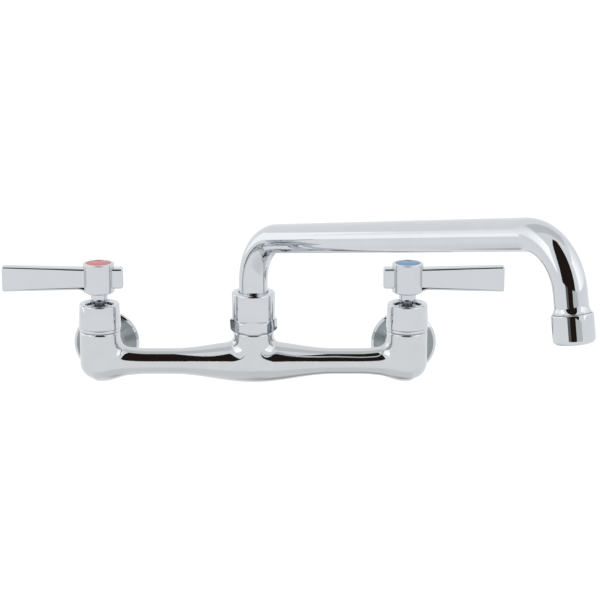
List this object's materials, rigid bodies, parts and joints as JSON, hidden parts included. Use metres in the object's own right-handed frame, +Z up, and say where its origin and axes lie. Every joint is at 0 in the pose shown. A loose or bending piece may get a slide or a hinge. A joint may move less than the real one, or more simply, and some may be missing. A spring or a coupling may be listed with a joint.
{
  "type": "wall-mounted kitchen faucet",
  "caption": "Wall-mounted kitchen faucet with a cast body, quarter-turn lever valves and a swinging tubular spout with an aerator.",
  "frame": {"origin": "on the wall plane, midway between the two inlet axes and at their height", "axes": "+X to the right along the wall as seen from the front, +Y into the wall, +Z up"},
  "size_m": [0.356, 0.3091, 0.1662],
  "materials": {
    "polished_chrome": "polished",
    "turned_brass": "satin",
    "stainless_steel": "satin",
    "black_rubber": "matte",
    "fibre_gasket": "matte",
    "alumina_ceramic": "satin",
    "white_acetal": "satin",
    "red_index": "gloss",
    "blue_index": "gloss"
  },
  "bodies": {
    "manifold": {"faucet_body": "polished_chrome", "hot_union_washer": "black_rubber", "hot_coupling_nut": "polished_chrome", "hot_retaining_ring": "stainless_steel", "hot_wall_flange": "polished_chrome", "hot_seat_seal": "black_rubber", "hot_lower_disc": "alumina_ceramic", "hot_cartridge_housing": "polished_chrome", "hot_bonnet_gasket": "fibre_gasket", "hot_bonnet": "polished_chrome", "cold_union_washer": "black_rubber", "cold_coupling_nut": "polished_chrome", "cold_retaining_ring": "stainless_steel", "cold_wall_flange": "polished_chrome", "cold_seat_seal": "black_rubber", "cold_lower_disc": "alumina_ceramic", "cold_cartridge_housing": "polished_chrome", "cold_bonnet_gasket": "fibre_gasket", "cold_bonnet": "polished_chrome", "spout_thrust_washer": "white_acetal", "spout_bush": "white_acetal", "spout_nut": "polished_chrome"},
    "hot_valve": {"hot_upper_disc": "alumina_ceramic", "hot_stem": "stainless_steel", "hot_stem_seal": "black_rubber", "hot_lever_handle": "polished_chrome", "hot_handle_screw": "stainless_steel", "hot_index_button": "red_index"},
    "cold_valve": {"cold_upper_disc": "alumina_ceramic", "cold_stem": "stainless_steel", "cold_stem_seal": "black_rubber", "cold_lever_handle": "polished_chrome", "cold_handle_screw": "stainless_steel", "cold_index_button": "blue_index"},
    "spout": {"spout_plug": "turned_brass", "spout_lower_seal": "black_rubber", "spout_upper_seal": "black_rubber", "spout_tube": "polished_chrome", "aerator_shell": "polished_chrome", "aerator_insert": "white_acetal", "aerator_washer": "black_rubber"}
  },
  "joints": [
    {"name": "hot_valve_turn", "type": "hinge", "parent": "manifold", "child": "hot_valve", "pos_m": [-0.1016, -0.048, 0.04], "axis": [0, 0, 1], "range_deg": [0, 90]},
    {"name": "cold_valve_turn", "type": "hinge", "parent": "manifold", "child": "cold_valve", "pos_m": [0.1016, -0.048, 0.04], "axis": [0, 0, 1], "range_deg": [-90, 0]},
    {"name": "spout_swing", "type": "hinge", "parent": "manifold", "child": "spout", "pos_m": [0, -0.048, 0.03], "axis": [0, 0, 1], "range_deg": [-125.7, 54.3]}
  ]
}
